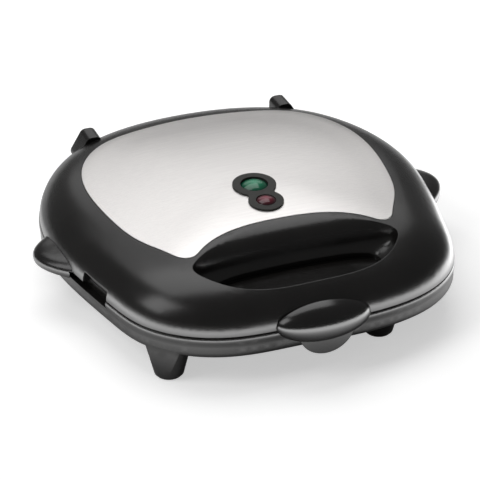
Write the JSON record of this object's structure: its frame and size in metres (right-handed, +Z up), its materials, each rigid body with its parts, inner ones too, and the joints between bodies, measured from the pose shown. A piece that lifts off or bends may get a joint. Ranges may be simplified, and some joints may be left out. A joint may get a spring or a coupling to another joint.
{
  "type": "sandwich maker",
  "caption": "Rounded clamshell sandwich toaster with pocketed hot plates, a steel-topped hinged lid with finger well and indicator lamps, and a front latch.",
  "frame": {"origin": "on the floor under the middle of the closed appliance's box", "axes": "+Z up, -Y to the front where the latch is, +X to the right of someone facing the front"},
  "size_m": [0.2616, 0.256, 0.0664],
  "materials": {
    "black_plastic": "moulded black, satin gloss",
    "steel_cover": "satin, fine grain",
    "bezel": "moulded dark grey",
    "green_lens": "clear moulded, emerald green",
    "red_lens": "clear moulded, dark ruby",
    "frame_plastic": "moulded black",
    "coated_plate": "die cast, dark non-stick coating",
    "element_steel": "heat-darkened tube",
    "reflector": "bright rolled sheet",
    "fixing_steel": "zinc plated",
    "pale_plastic": "moulded heat-proof resin",
    "wire_cover": "glass-fibre sleeve",
    "lamp_glass": "clear",
    "pad_rubber": "moulded"
  },
  "bodies": {
    "base": {"base_shell": "black_plastic", "foot_pads": "pad_rubber", "lower_plate_frame": "frame_plastic", "lower_frame_screws": "fixing_steel", "lower_cooking_plate": "coated_plate", "lower_plate_screws": "fixing_steel", "lower_heating_element": "element_steel", "lower_heat_reflector": "reflector", "thermostat": "fixing_steel", "terminal_block": "pale_plastic", "base_wires": "wire_cover", "cord_gland": "frame_plastic", "hinge_pins": "fixing_steel"},
    "lid": {"lid_shell": "black_plastic", "lid_steel_cover": "steel_cover", "indicator_bezel": "bezel", "ready_lamp_lens": "green_lens", "power_lamp_lens": "red_lens", "lamp_holder": "pale_plastic", "neon_lamps": "lamp_glass", "upper_plate_frame": "frame_plastic", "upper_frame_screws": "fixing_steel", "upper_cooking_plate": "coated_plate", "upper_plate_screws": "fixing_steel", "upper_heating_element": "element_steel", "upper_heat_reflector": "reflector", "thermal_fuse": "reflector", "lid_wires": "wire_cover"},
    "latch": {"latch_clip": "black_plastic", "latch_pivot_pin": "fixing_steel"}
  },
  "joints": [
    {"name": "lid_hinge", "type": "hinge", "parent": "base", "child": "lid", "pos_m": [0, 0.1215, 0.034], "axis": [-1, 0, 0], "range_deg": [0, 100]},
    {"name": "latch_turn", "type": "hinge", "parent": "lid", "child": "latch", "pos_m": [0, -0.118, 0.0383], "axis": [-1, 0, 0], "range_deg": [0, 25]}
  ]
}
